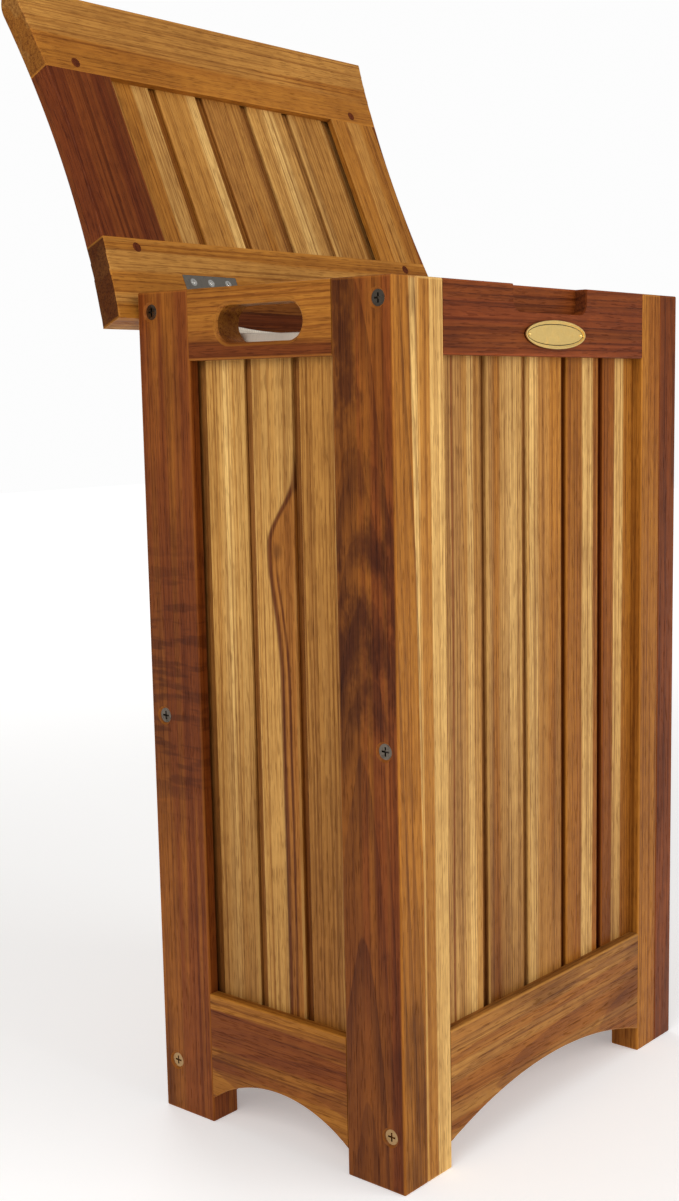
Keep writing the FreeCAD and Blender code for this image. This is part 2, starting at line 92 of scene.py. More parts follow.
middle = Vector((0.0, -0.06, 0.35))
mouth = Vector((0.0, -0.06, 0.60))
soft_lamp("key_lamp", (-1.7, -0.5, 1.45), mouth, 1.2, 18)
soft_lamp("front_lamp", (0.5, -2.5, 1.3), middle, 1.8, 31)
soft_lamp("back_lamp", (1.2, 1.9, 2.2), middle, 1.2, 14)

# %% Floor
bpy.ops.object.select_all(action="DESELECT")
bpy.ops.mesh.primitive_plane_add(size=14.0, location=(0.0, 0.0, 0.0))
floor = bpy.context.object
floor.name = "studio_floor"

# %% [markdown]
# ## Place the camera
# The hamper is seen from its front left corner, at the height of the hand slots, so the camera looks
# slightly down. Its turn is given as a compass angle and a dip, and its frame is shifted a little
# sideways and up to hold the whole lid.

# %% Camera
camera_place = Vector((-0.9470, -0.8119, 0.5337))
turn, dip, lean = math.radians(51.02), math.radians(8.17), math.radians(-0.79)
ahead = Vector((math.cos(dip) * math.sin(turn), math.cos(dip) * math.cos(turn), -math.sin(dip)))
level = Vector((math.cos(turn), -math.sin(turn), 0.0))
upright = level.cross(ahead)
right = math.cos(lean) * level + math.sin(lean) * upright
upward = -math.sin(lean) * level + math.cos(lean) * upright
lens = bpy.data.cameras.new("camera")
lens.sensor_width = 36.0
lens.lens = 47.3
lens.shift_x = -0.0604
lens.shift_y = 0.0196
camera = bpy.data.objects.new("camera", lens)
facing = Matrix((right, upward, -ahead)).transposed().to_4x4()
camera.matrix_world = Matrix.Translation(camera_place) @ facing
scene.collection.objects.link(camera)
scene.camera = camera
print("camera at", tuple(camera_place), "looking along", tuple(round(v, 3) for v in ahead))

# %% [markdown]
# ## Write shader maths as Python
# A finish is built from dozens of small nodes, which is hard to read as a list of links. Here one class
# stands for a socket and turns +, -, * and / into Math nodes, and its maker adds any other node in one
# call: the node's type, its settings, then the values or links of its sockets. Colours always go through
# a Mix node, because a Math node would turn them grey.


# %% Sockets for shader maths
class Socket:
    """An output of a node tree, on which Python's own operators build Math nodes."""

    def __init__(self, maker, link):
        self.maker = maker
        self.link = link

    def __add__(self, other):
        return self.maker.math("ADD", self, other)

    __radd__ = __add__

    def __mul__(self, other):
        return self.maker.math("MULTIPLY", self, other)

    __rmul__ = __mul__

    def __sub__(self, other):
        return self.maker.math("SUBTRACT", self, other)

    def __rsub__(self, other):
        return self.maker.math("SUBTRACT", other, self)

    def __truediv__(self, other):
        return self.maker.math("DIVIDE", self, other)

    def __rtruediv__(self, other):
        return self.maker.math("DIVIDE", other, self)

    def __pow__(self, other):
        return self.maker.math("POWER", self, other)

    def __rpow__(self, other):
        return self.maker.math("POWER", other, self)

    def __abs__(self):
        return self.maker.math("ABSOLUTE", self)

    def over(self, other):
        return self.maker.math("GREATER_THAN", self, other)

    def least(self, other):
        return self.maker.math("MINIMUM", self, other)

    def most(self, other):
        return self.maker.math("MAXIMUM", self, other)

    def floor(self):
        return self.maker.math("FLOOR", self)

    def fraction(self):
        return self.maker.math("FRACT", self)

    def ramp(self, low, high):
        """0 below low, 1 above high, and a smooth step between them; low may be the larger."""
        return self.maker.node(
            "MapRange", {"interpolation_type": "SMOOTHSTEP"},
            {"Value": self, "From Min": low, "From Max": high})


class Finish:
    """A new material, and the few calls that add nodes to it."""

    def __init__(self, name):
        self.material = bpy.data.materials.new(name)
        self.material.use_nodes = True
        self.tree = self.material.node_tree
        self.shader = self.tree.nodes["Principled BSDF"]

    def node(self, kind, settings=None, sockets=None, out=0):
        """Add a node: its type, its settings, then its sockets' values or links."""
        made = self.tree.nodes.new("ShaderNode" + kind)
        for key, value in (settings or {}).items():
            setattr(made, key, value)
        for key, value in (sockets or {}).items():
            self.feed(made.inputs[key], value)
        return Socket(self, made.outputs[out])

    def feed(self, target, value):
        if isinstance(value, Socket):
            self.tree.links.new(value.link, target)
        elif isinstance(value, tuple) and len(value) == 3 and target.type == "RGBA":
            target.default_value = (*value, 1.0)
        else:
            target.default_value = value

    def split(self, vector):
        """The X, Y and Z of a vector as three sockets."""
        parts = self.node("SeparateXYZ", None, {0: vector}).link.node.outputs
        return [Socket(self, part) for part in parts]

    def math(self, operation, *values):
        return self.node("Math", {"operation": operation}, dict(enumerate(values)))

    def mix(self, factor, first, second, blend="MIX"):
        """The first colour where factor is 0, and the second where it is 1."""
        settings = {"data_type": "RGBA", "blend_type": blend}
        return self.node("Mix", settings, {0: factor, 6: first, 7: second}, 2)

    def scaled(self, vector, size):
        """A vector times another, part by part."""
        return self.node("VectorMath", {"operation": "MULTIPLY"}, {0: vector, 1: size})

    def dot(self, vector, axis):
        """How far a vector reaches along an axis."""
        return self.node("VectorMath", {"operation": "DOT_PRODUCT"}, {0: vector, 1: axis}, 1)

    def noise(self, vector, size, detail=2.0, rough=0.5):
        """Noise from about 0.25 to 0.75, with size as the number of blobs to a metre along each axis."""
        sockets = {"Vector": self.scaled(vector, size), "Scale": 1.0, "Detail": detail, "Roughness": rough}
        return self.node("TexNoise", None, sockets)

    def set(self, **sockets):
        """Give the shader its values, with _ for a space in a socket's name."""
        for key, value in sockets.items():
            self.feed(self.shader.inputs[key.replace("_", " ")], value)


# %% Paper for the floor
paper = Finish("studio_paper")
room = paper.node("VectorMath", {"operation": "LENGTH"}, {0: paper.node("TexCoord", None, None, 3)}, 1)
near, far = (0.30, 0.30, 0.30), (0.74, 0.74, 0.74)
glow = paper.mix(room.ramp(0.5, 3.6), near, far)
paper.set(Base_Color=(0.88, 0.88, 0.88), Roughness=0.9, Specular_IOR_Level=0.1,
          Emission_Color=glow, Emission_Strength=1.0)
floor.data.materials.append(paper.material)
print("paper nodes:", len(paper.tree.nodes))

# %% [markdown]
# ## Grow the timber
# A board is a slice of a log, and its figure is where its faces cut the growth rings. So the timber is a
# solid pattern: each board is given a place in a log, a distance from the pith and a slight tilt, and the
# rings are the distance from that pith. A face that cuts the rings squarely shows straight lines, one that
# grazes them shows arches, and the ends show the rings themselves, all from the same few nodes. Over the
# rings go ribbons of heartwood, fibres, pores and smoky patches. Then comes painted light and shade: a
# painted shimmer of short dark strokes, painted shade towards the foot of some slats, the dark of the
# grooves, which is part oil and dirt and part painted shade, and paler edges, part wear and part painted
# highlight.

# %% Timber colours, from sapwood to the darkest heart
cream = (0.82, 0.51, 0.17)
straw = (0.64, 0.362, 0.105)
honey = (0.54, 0.258, 0.056)
golden = (0.46, 0.182, 0.024)
tawny = (0.355, 0.118, 0.015)
redwood = (0.30, 0.066, 0.014)
russet = (0.230, 0.056, 0.0095)
mahogany = (0.165, 0.035, 0.0070)
umber = (0.072, 0.016, 0.0040)
plumb = Vector((0.0, 0.0, 1.0))
left_out, right_out = Vector((-1.0, 0.0, 0.0)), Vector((1.0, 0.0, 0.0))
front_out, rear_out = Vector((0.0, -1.0, 0.0)), Vector((0.0, 1.0, 0.0))
lid_opening = math.radians(113.5)
lid_length = Vector((0.0, -math.cos(lid_opening), math.sin(lid_opening)))
lid_under = Vector((0.0, -math.sin(lid_opening), -math.cos(lid_opening)))


# %% A board's own frame
def board_frame(node, grain, face):
    """A board's middle, and its axes and half sizes across, into and along the wood."""
    axes = (grain.cross(face), -face, grain)
    spans = []
    for axis in axes:
        reach = [axis.dot(v.co) for v in nodes[node].data.vertices]
        spans.append((min(reach), max(reach)))
    centre = sum(((low + high) / 2 * axis for (low, high), axis in zip(spans, axes)), Vector())
    return centre, axes, [(high - low) / 2 for low, high in spans]


# %% The timber finish
def timber(node, grain, face, early, late, ribbon=None, pith=(0.12, 0.02), tilt=0.3, ring=0.0032,
           line=0.7, smoke=0.25, stripes=(), fade=0.0, dark_ends=0.5, groove=0.0, straight=True, more=None):
    """Give one board its own piece of a log.

    early and late are the colours between and in the ring lines, and ribbon is that of broad streaks.
    pith is how far off the middle of the log lies, across and into the board, and tilt how far the log
    leans, in degrees. A stripe is (colour, place across, half width, lean, softness), and fade
    is how much painted shade darkens the board towards its start, the foot of an upright.
    """
    finish = Finish("teak_" + node)
    centre, axes, half = board_frame(node, grain, face)
    seed = tuple(random.uniform(3, 60) for _ in axes)
    place = finish.node("TexCoord", None, None, 3)
    turned = Matrix(axes).transposed().to_euler()
    local = finish.node("Mapping", {"vector_type": "TEXTURE"},
                        {"Vector": place, "Location": centre, "Rotation": turned})
    across, inward, along = finish.split(local)
    wood = finish.node("VectorMath", {"operation": "ADD"}, {0: local, 1: seed})
    wander = (finish.noise(wood, (9, 9, 2.6)) - 0.5) * 0.020
    ripple = (finish.noise(wood, (30, 30, 5.0)) - 0.5) * 0.0060
    off_across = across + pith[0] + wander
    off_inward = inward + pith[1] + along * math.tan(math.radians(tilt)) + ripple
    radius = (off_across * off_across + off_inward * off_inward) ** 0.5
    count = radius / ring + finish.noise(wood, (16, 16, 0.7), 1.0) * 2.2
    season = count.fraction()
    year_tone = finish.node("TexWhiteNoise", {"noise_dimensions": "1D"}, {"W": count.floor()})
    late_wood = season.ramp(0.35, 0.97) * season.ramp(1.0, 0.96) * (year_tone * 0.85 + 0.15)
    thread = finish.noise(wood, (430, 430, 2.2), 3.0, 0.65)
    fibre = finish.noise(wood, (1300, 1300, 30), 2.0, 0.6)
    pore = finish.noise(wood, (1100, 1100, 75), 1.0).ramp(0.56, 0.66)
    cloud = finish.noise(wood, (17, 17, 5), 3.0, 0.6)
    painted_shimmer = finish.noise(wood, (90, 90, 60), 2.0, 0.6)

    between = tuple(e * 0.45 + t * 0.55 for e, t in zip(early, late))
    wide = finish.noise(wood, (75, 75, 1.3), 2.0)
    colour = finish.mix(wide.ramp(0.38, 0.64) * 0.55 + year_tone * 0.25, early, between)
    if ribbon is not None:
        streak = finish.noise(wood, (44, 44, 1.0), 2.0).ramp(0.46, 0.54)
        colour = finish.mix(streak * 0.9, colour, ribbon)
    for hue, at, half_width, slope, soft in stripes:
        off = abs(across - at - along * slope + ripple * 0.7)
        colour = finish.mix(off.ramp(half_width + soft, half_width - soft) * 0.92, colour, hue)
    if more is not None:
        colour = more(finish, colour, across, inward, along, ripple)

    def deepen(amount, tint=(0.48, 0.36, 0.26)):
        return finish.mix(amount, colour, finish.mix(1.0, colour, tint, "MULTIPLY"))

    colour = finish.mix(late_wood * line, colour, finish.mix(0.65, deepen(0.9), late))
    colour = deepen(thread.ramp(0.47, 0.66) * 0.72)
    # Painted shimmer: short dark strokes in the colour stand in for the sheen that shifts across teak fibres.
    colour = deepen(painted_shimmer.ramp(0.35, 0.70) * 0.25)
    # Painted shade: the board is darkened towards its start, the foot of an upright, where less light
    # reaches.
    if fade:
        colour = deepen((0.5 - along / (half[2] * 2)).ramp(0.25, 1.0) * fade, (0.55, 0.44, 0.34))
    colour = deepen(cloud.ramp(0.50, 0.72) * smoke, (0.30, 0.20, 0.16))
    colour = deepen(fibre.ramp(0.62, 0.36) * 0.25)
    colour = deepen(pore * 0.42, (0.32, 0.22, 0.16))
    glow = finish.noise(wood, (8, 8, 4)).ramp(0.40, 0.68)
    colour = finish.mix(1.0, colour, finish.mix(glow, (0.90, 0.88, 0.86), (1.10, 1.12, 1.14)), "MULTIPLY")

    normal = finish.node("TexCoord", None, None, 1)
    facing = [abs(finish.dot(normal, axis)) for axis in axes]
    ends = facing[2].ramp(0.6, 0.85)
    colour = deepen(ends * dark_ends, (0.22, 0.15, 0.12))
    # The recessed tongues are darkened: part oil and dirt in the grooves, part painted shade.
    if groove:
        colour = deepen((inward + half[1]).ramp(0.0018, 0.0036) * groove, (0.40, 0.25, 0.18))
    square_on = 0.93
    edge = half[0] - abs(across) + facing[0].over(square_on)
    edge = edge.least(half[2] - abs(along) + facing[2].over(square_on))
    if straight:
        edge = edge.least(half[1] - abs(inward) + facing[1].over(square_on))
    # Paler edges: part oil worn off the arrises, part painted highlight where they catch the light.
    wear_and_highlight = edge.ramp(0.0021, 0.0007) * cloud.ramp(0.28, 0.60)
    colour = finish.mix(wear_and_highlight * 0.40, colour, tuple(min(1.0, e * 1.2) for e in early))
    sheen = 0.42 + late_wood * -0.08 + pore * 0.25 + ends * 0.22 + (cloud - 0.5) * 0.25 + wear_and_highlight * 0.08
    height = fibre * 0.5 + late_wood * 0.35 - pore * 0.9
    bump = finish.node("Bump", None, {"Height": height, "Strength": 0.3, "Distance": 0.0004})
    finish.set(Base_Color=colour, Roughness=sheen, Normal=bump, Specular_IOR_Level=0.10)
    surface = nodes[node].data
    surface.materials.clear()
    surface.materials.append(finish.material)


random.seed(71)

# %% [markdown]
# ## Choose a board for each place
# The real hamper mixes light sapwood and dark heartwood boards freely, and that mix is its character. So
# each board is chosen by name, as a joiner would pick it from the rack: the posts are dark, the slats run
# from cream to brown, and the front rail is the reddest board of all. Uprights take their grain from the
# plumb line, and a rail takes it from the wall it is in.


# %% Uprights and rails
def stile(node, face, early, late, ribbon=None, **figure):
    timber(node, plumb, face, early, late, ribbon, **figure)


def rail(node, face, early, late, ribbon=None, **figure):
    timber(node, face.cross(plumb), face, early, late, ribbon, **figure)


def slat(node, face, early, late, ribbon=None, **figure):
    timber(node, plumb, face, early, late, ribbon, groove=0.85, **figure)


arched = dict(pith=(0.012, 0.055), tilt=3.0, ring=0.006)
half_arched = dict(pith=(0.045, 0.045), tilt=1.6, ring=0.0045)


# %% Three boards with a story: the knot, the smoky post with its sapwood edge, and the flamed post
def knot_streak(finish, colour, across, inward, along, ripple):
    """Heartwood that swells from a knot, with a dark rim, and runs down one side of a slat."""
    above = along - 0.100
    bulge = math.e ** (above * above * -420.0)
    edge = 0.0098 - bulge * 0.0100 + above.ramp(0.004, 0.050) * 0.018 + ripple * 0.6
    heart = (across - edge).ramp(-0.0008, 0.0012)
    rim = abs(across - edge - 0.0006).ramp(0.0036, 0.0008)
    core = abs(across - edge - 0.0070).ramp(0.0020, 0.0004) * above.ramp(0.01, -0.03)
    colour = finish.mix(heart * 0.85, colour, tawny)
    colour = finish.mix(rim.most(core) * 0.90, colour, tuple(c * 0.7 for c in mahogany))
    eye = ((across - 0.008) ** 2.0 + above * above * 0.5) ** 0.5
    return finish.mix(eye.ramp(0.0065, 0.001) * 0.6, colour, umber)


def smoky_post(finish, colour, across, inward, along, ripple):
    """Smoke and dark arches above the middle of the post, orange heart and a wedge of sapwood on its edge."""
    spot = finish.node("CombineXYZ", None, {0: across + 3.1, 1: inward, 2: along})
    smoke = finish.noise(spot, (42, 12, 24), 4.0, 0.65)
    middle_part = along.ramp(-0.02, 0.05) * along.ramp(0.20, 0.12) * 0.20
    top_corner = along.ramp(0.17, 0.24) * across.ramp(0.004, -0.012) * 0.30
    colour = finish.mix((smoke + middle_part + top_corner).ramp(0.58, 0.84) * 0.80, colour, umber)
    arch = ((along + across * across * 90.0 + (smoke - 0.5) * 0.060) * 20.0).fraction()
    arch = arch.ramp(0.20, 0.75) * arch.ramp(1.0, 0.90) * along.ramp(-0.03, 0.03) * along.ramp(0.24, 0.15)
    colour = finish.mix(arch * 0.50, colour, umber)
    colour = finish.mix(along.ramp(-0.04, -0.16) * 0.45, colour, mahogany)
    front_edge = across.ramp(0.0238, 0.0250)
    colour = finish.mix(front_edge * 0.85, colour, golden)
    sap = (inward - 0.0035 - (0.300 - along) * 0.020 + ripple * 0.25).ramp(0.0, 0.0010)
    return finish.mix(sap * front_edge, colour, cream)


def flamed_post(finish, colour, across, inward, along, ripple):
    """Dark flames that cross the middle of the post, with the wood between them darker too."""
    spot = finish.node("CombineXYZ", None, {0: across, 1: inward, 2: along})
    flame = finish.noise(spot, (26, 26, 150), 2.0, 0.55)
    middle_part = along.ramp(-0.10, -0.02) * along.ramp(0.16, 0.06)
    colour = finish.mix(middle_part * 0.45, colour, mahogany)
    return finish.mix(flame.ramp(0.46, 0.60) * middle_part * 0.55, colour, umber)


# %% The left wall
stile("left_rear_stile", left_out, tawny, mahogany, russet, line=0.5, smoke=0.6, more=flamed_post)
stile("left_front_stile", left_out, tawny, umber, russet, line=0.75, smoke=0.85, more=smoky_post, **arched)
rail("left_top_rail", left_out, golden, russet, pith=(0.08, 0.03),
     stripes=((mahogany, -0.025, 0.013, 0.03, 0.005),))
rail("left_bottom_rail", left_out, golden, mahogany, russet, smoke=0.5, **arched)
slat("left_slat_1", left_out, straw, golden, fade=0.7, stripes=((cream, 0.006, 0.004, 0.01, 0.004),))
slat("left_slat_2", left_out, straw, golden, pith=(0.06, 0.03), line=0.5, more=knot_streak)
slat("left_slat_3", left_out, straw, tawny, honey, fade=0.9, stripes=((cream, 0.0175, 0.003, 0.0, 0.002),))

# %% The front wall
stile("front_left_stile", front_out, cream, honey, line=0.5, smoke=0.1,
      stripes=((golden, -0.0075, 0.006, 0.0, 0.001),))
stile("front_right_stile", front_out, golden, russet, tawny)
rail("front_top_rail", front_out, redwood, umber, russet, pith=(0.05, 0.03), tilt=0.8, ring=0.005, smoke=0.6)
rail("front_bottom_rail", front_out, honey, mahogany, tawny, line=0.7, smoke=0.6, **arched)
slat("front_slat_1", front_out, straw, russet, honey, ring=0.0026, line=0.85,
     stripes=((russet, -0.0040, 0.0012, 0.004, 0.0012), (cream, 0.0165, 0.0035, 0.0, 0.0015)))
slat("front_slat_2", front_out, straw, russet, straw, ring=0.0026, line=0.8, fade=1.0,
     stripes=((cream, -0.0195, 0.003, 0.0, 0.0015), (golden, -0.005, 0.004, 0.003, 0.003),
              (cream, 0.014, 0.006, 0.0, 0.004)))
slat("front_slat_3", front_out, honey, russet, golden, fade=0.2,
     stripes=((cream, -0.012, 0.0080, 0.0, 0.003),))
slat("front_slat_4", front_out, golden, russet, tawny, stripes=((cream, 0.0120, 0.0075, 0.0, 0.002),))
slat("front_slat_5", front_out, tawny, russet, russet, fade=0.7,
     stripes=((cream, 0.0015, 0.0065, 0.004, 0.0015), (golden, 0.0155, 0.0065, 0.0, 0.002)))

# %% The right wall
stile("right_front_stile", right_out, russet, umber, russet, smoke=0.4)
stile("right_rear_stile", right_out, tawny, mahogany, russet, smoke=0.5, **arched)
rail("right_top_rail", right_out, golden, russet, tawny, **half_arched)
rail("right_bottom_rail", right_out, tawny, russet, russet, smoke=0.4, **arched)
slat("right_slat_1", right_out, honey, tawny, golden)
slat("right_slat_2", right_out, straw, golden, honey, **half_arched)
slat("right_slat_3", right_out, golden, russet, tawny, stripes=((cream, -0.014, 0.005, 0.006, 0.002),))

# %% The rear wall
stile("rear_left_stile", rear_out, tawny, mahogany, russet)
stile("rear_right_stile", rear_out, golden, russet, tawny)
rail("rear_top_rail", rear_out, tawny, umber, mahogany, pith=(0.05, 0.03), tilt=0.8, ring=0.005, smoke=0.5)
rail("rear_bottom_rail", rear_out, tawny, mahogany, russet, **arched)
slat("rear_slat_1", rear_out, honey, tawny, golden)
slat("rear_slat_2", rear_out, straw, golden, honey, **half_arched)
slat("rear_slat_3", rear_out, golden, russet, tawny, stripes=((cream, 0.012, 0.006, 0.004, 0.002),))
slat("rear_slat_4", rear_out, honey, tawny, golden)
slat("rear_slat_5", rear_out, straw, golden, honey, **half_arched)

# %% The lid
lid_across = lid_under.cross(lid_length)


def lid_rail(node, **figure):
    timber(node, lid_across, lid_under, golden, tawny, honey, tilt=0.9, ring=0.004, line=0.4,
           straight=False, **figure)


def lid_stile(node, early, late, ribbon, **figure):
    timber(node, lid_length, lid_under, early, late, ribbon, straight=False, **figure)


def lid_slat(node, early, late, ribbon=None, **figure):
    lid_stile(node, early, late, ribbon, groove=0.6, **figure)


lid_rail("lid_front_rail", pith=(0.05, 0.04), dark_ends=0.5)
lid_rail("lid_rear_rail", pith=(0.06, 0.04), dark_ends=1.3)
lid_stile("lid_left_stile", russet, umber, mahogany, ring=0.005, smoke=0.5)
lid_stile("lid_right_stile", honey, tawny, golden, stripes=((russet, 0.034, 0.008, 0.0, 0.0008),))
lid_slat("lid_slat_1", straw, tawny, golden)
lid_slat("lid_slat_2", honey, golden, stripes=((cream, 0.010, 0.006, 0.0, 0.003),))
lid_slat("lid_slat_3", honey, russet, golden, line=0.9)
lid_slat("lid_slat_4", straw, golden, stripes=((cream, -0.004, 0.006, 0.0, 0.004),))
lid_slat("lid_slat_5", straw, tawny, honey, line=0.9)
timber("lid_dowels", lid_under, lid_length, mahogany, umber, dark_ends=0.1, straight=False)

# %% The floor and its cleats
timber("floor_cleats", right_out, plumb, tawny, russet, golden, straight=False)
for index in (1, 2, 3):
    timber("floor_board_%d" % index, right_out, plumb, golden, russet, tawny, **half_arched)

# %% [markdown]
# ## Metals
# The fittings are three metals: zinc-plated hinges with bright screws, darker corner screws, and a brass
# plate and pegs. Each is a metallic shader whose roughness is broken up by fine scratches and dullness.


# %% A metal finish
def metal(name, members, bright, dull, rough, brushed=(60, 60, 60), scratch=0.10, more=None):
    """Dress the named nodes in one metal; more may change its colour further."""
    finish = Finish(name)
    place = finish.node("TexCoord", None, None, 3)
    tarnish = finish.noise(place, (160, 160, 160), 3.0, 0.6)
    brush = finish.noise(place, brushed, 2.0, 0.6)
    grime = tarnish.ramp(0.45, 0.72)
    colour = finish.mix(grime, bright, dull)
    if more is not None:
        colour = more(finish, colour, place)
    bump = finish.node("Bump", None, {"Height": brush + tarnish * 0.5, "Strength": 0.15, "Distance": 0.0001})
    gloss = rough + grime * 0.10 + (brush - 0.5) * scratch
    finish.set(Base_Color=colour, Metallic=1.0, Roughness=gloss, Normal=bump)
    for member in members:
        nodes[member].data.materials.clear()
        nodes[member].data.materials.append(finish.material)


def rubbed_low(finish, colour, place):
    """The lowest screws have rubbed through to brass."""
    height = finish.split(place)[2]
    return finish.mix(height.ramp(0.20, 0.10) * 0.7, colour, (0.50, 0.30, 0.12))


def inked_line(finish, colour, place):
    """Dark lacquer left in the line engraved round the plate."""
    depth = finish.split(place)[1]
    return finish.mix(depth.ramp(plate_face + 0.0001, plate_face + 0.0003), colour, (0.055, 0.030, 0.012))


plate_pin_rise = 0.0010
plate_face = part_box("oval_plate")[0].y + plate_pin_rise
leaves_and_pin = ("body_leaf", "pin", "lid_leaf")
hinge_parts = [side + part for side in ("left_hinge_", "right_hinge_") for part in leaves_and_pin]
corner_screws = ["left_corner_screws", "right_corner_screws"]
metal("hinge_steel", hinge_parts, (0.25, 0.225, 0.195), (0.18, 0.16, 0.14), 0.32, (60, 2500, 2500))
metal("hinge_screws", ["hinge_body_screws", "hinge_lid_screws"], (0.78, 0.77, 0.74), (0.45, 0.43, 0.40), 0.2)
metal("corner_screw_steel", corner_screws, (0.15, 0.125, 0.10), (0.05, 0.04, 0.03), 0.22, more=rubbed_low)
metal("plate_brass", ["oval_plate"], (0.90, 0.64, 0.23), (0.82, 0.55, 0.18), 0.38, (80, 80, 3000),
      more=inked_line)
metal("peg_brass", ["liner_pegs"], (0.78, 0.55, 0.22), (0.45, 0.28, 0.10), 0.3)

# %% [markdown]
# ## Cut and hang the cloth bag
# The bag is one tube of cotton canvas with a flat bottom, hemmed at the mouth and hung from four brass
# pegs by loops of tape. Cloth looks right when it has been cut a little too large and then let go, so the
# tube starts with soft upright waves that hold spare width. A short cloth simulation lets it drop and
# fill, and each point is then kept inside the walls.


# %% Helpers for edit mode
def edit(piece):
    """Select only this piece and open it for editing."""
    bpy.ops.object.select_all(action="DESELECT")
    piece.select_set(True)
    bpy.context.view_layer.objects.active = piece
    bpy.ops.object.mode_set(mode="EDIT")


def pick(kind, wanted):
    """In edit mode, select only the vertices, edges or faces whose points all pass a test."""
    mesh = bmesh.from_edit_mesh(bpy.context.object.data)
    bpy.ops.mesh.select_all(action="DESELECT")
    for item in getattr(mesh, kind):
        points = [item.co] if kind == "verts" else [v.co for v in item.verts]
        if all(wanted(point) for point in points):
            item.select_set(True)
    bmesh.update_edit_mesh(bpy.context.object.data)


def close(piece):
    """Leave edit mode and bring the piece's place into its mesh."""
    bpy.ops.object.mode_set(mode="OBJECT")
    bpy.ops.object.transform_apply(location=True, rotation=True, scale=True)
    return piece


def add_modifier(piece, kind, **settings):
    """Put a modifier on a piece and apply it at once."""
    made = piece.modifiers.new(kind.lower(), kind)
    for key, value in settings.items():
        setattr(made, key, value)
    bpy.ops.object.select_all(action="DESELECT")
    piece.select_set(True)
    bpy.context.view_layer.objects.active = piece
    bpy.ops.object.modifier_apply(modifier=made.name)


# %% The bag as it was cut
bag_low, bag_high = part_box("liner_bag")
bag_middle = (bag_low + bag_high) / 2
spare = 0.004
corner = 0.016
rows = 36
wide_cuts, deep_cuts = 22, 12
bag_size = Vector((bag_high.x - bag_low.x - spare, bag_high.y - bag_low.y - spare, 1.0))
bag_floor = bag_low.z
bag_centre = Vector((bag_middle.x, bag_middle.y, bag_floor))
bpy.ops.object.select_all(action="DESELECT")
bpy.ops.mesh.primitive_plane_add(size=1.0, location=bag_centre)
bag = bpy.context.object
bag.name = "liner_cloth"
edit(bag)
bpy.ops.mesh.select_all(action="SELECT")
bpy.ops.transform.resize(value=bag_size, center_override=bag_centre)
bpy.ops.mesh.bevel(offset=corner, segments=4, affect="VERTICES")
bpy.ops.mesh.delete(type="ONLY_FACE")
straight_x, straight_y = bag_size.x / 2 - corner, bag_size.y / 2 - corner
pick("edges", lambda co: abs(co.x) < straight_x * 1.01 and abs(co.y) > straight_y * 1.03)
bpy.ops.mesh.subdivide(number_cuts=wide_cuts)
pick("edges", lambda co: abs(co.y) < straight_y * 1.01 and abs(co.x) > straight_x * 1.03)
bpy.ops.mesh.subdivide(number_cuts=deep_cuts)
bpy.ops.mesh.select_all(action="SELECT")
row = (bag_high.z - bag_floor) / rows
for _ in range(rows):
    bpy.ops.mesh.extrude_region_move(TRANSFORM_OT_translate={"value": (0.0, 0.0, row)})
pick("edges", lambda co: co.z < row / 2)
for shrink_x, shrink_y in ((0.93, 0.90), (0.90, 0.86), (0.86, 0.80), (0.80, 0.72), (0.70, 0.60), (0.5, 0.5)):
    bpy.ops.mesh.extrude_region_move()
    bpy.ops.transform.resize(value=(shrink_x, shrink_y, 1.0), center_override=bag_centre)
bpy.ops.mesh.edge_face_add()
bpy.ops.mesh.select_all(action="SELECT")
bpy.ops.mesh.normals_make_consistent(inside=False)
close(bag)
girth = sum((bag.data.vertices[e.vertices[0]].co - bag.data.vertices[e.vertices[1]].co).length
            for e in bag.data.edges
            if min(bag.data.vertices[v].co.z for v in e.vertices) > bag_high.z - row / 2)

# %% [markdown]
# The weave has to follow the cloth and not the room, so every point's place round and up the tube is
# kept in a UV map before the cloth is let go. One turn of the tube meets itself at a rear corner.


# %% Round and up the tube
def round_the_tube(point):
    """How far round the bag a point lies, from 0 to 1, starting at a rear corner."""
    angle = math.atan2((point.y - bag_middle.y) / bag_size.y, (point.x - bag_middle.x) / bag_size.x)
    return (angle / math.tau + 0.87) % 1.0


threads = bag.data.uv_layers.new(name="threads")
for face in bag.data.polygons:
    flat = all(bag.data.vertices[v].co.z < bag_floor + row / 4 for v in face.vertices)
    turns = [round_the_tube(bag.data.vertices[v].co) for v in face.vertices]
    for loop, index, turn_share in zip(face.loop_indices, face.vertices, turns):
        point = bag.data.vertices[index].co
        wrapped = turn_share + (1.0 if max(turns) - turn_share > 0.5 else 0.0)
        threads.data[loop].uv = (point.x, point.y) if flat else (wrapped * girth, point.z)

# %% Spare width, laid in soft upright waves
peg_low, peg_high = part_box("liner_pegs")
peg_x = 0.117
peg_reach = 0.03
deepest_fold = 0.0200
crumple_rise = 0.0016
peg_z = (peg_low.z + peg_high.z) / 2
waves = [(random.randint(5, 23), random.uniform(0, math.tau), random.uniform(0.4, 1.0)) for _ in range(7)]
for vertex in bag.data.vertices:
    point = vertex.co
    share = round_the_tube(point)
    height = (point.z - bag_floor) / (bag_high.z - bag_floor)
    if height < 0.01:
        crumple = math.sin(point.x * 71 + 1.3) * math.sin(point.y * 83 + 0.4)
        point.z += crumple_rise * (1.0 + crumple)
        continue
    fold = sum(size * math.sin(math.tau * count * share + start + 2.1 * height * size)
               for count, start, size in waves) / len(waves)
    by_peg = math.exp(-((abs(point.x - bag_middle.x) - peg_x) / peg_reach) ** 2) if height > 0.9 else 0.0
    swell = math.sin(math.pi * height * 0.94) ** 0.5 * (0.55 + 0.45 * height)
    depth_of_fold = deepest_fold * swell * (1.0 - by_peg)
    outward = Vector((point.x - bag_middle.x, point.y - bag_middle.y, 0.0))
    outward = Vector((outward.x / bag_size.x, outward.y / bag_size.y, 0.0)).normalized()
    point -= outward * depth_of_fold * (0.5 + fold)

